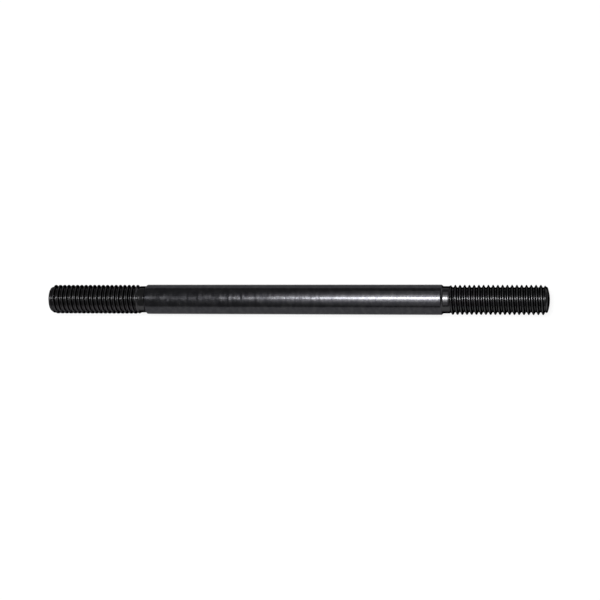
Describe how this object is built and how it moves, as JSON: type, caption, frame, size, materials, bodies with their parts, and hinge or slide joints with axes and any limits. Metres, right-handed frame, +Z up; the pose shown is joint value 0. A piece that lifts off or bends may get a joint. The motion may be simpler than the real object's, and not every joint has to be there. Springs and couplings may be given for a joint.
{
  "type": "double ended stud",
  "caption": "Blackened steel stud with a plain shank between necked, coarse-threaded ends, for clamping parts between nuts.",
  "frame": {"origin": "middle of the stud's axis, halfway between its two tips", "axes": "+X along the stud towards one threaded end, +Z up, +Y to the side"},
  "size_m": [0.216, 0.0126, 0.0126],
  "materials": {
    "steel": "black oxide, lightly oiled, satin"
  },
  "bodies": {
    "root": {"stud": "steel"}
  },
  "joints": []
}
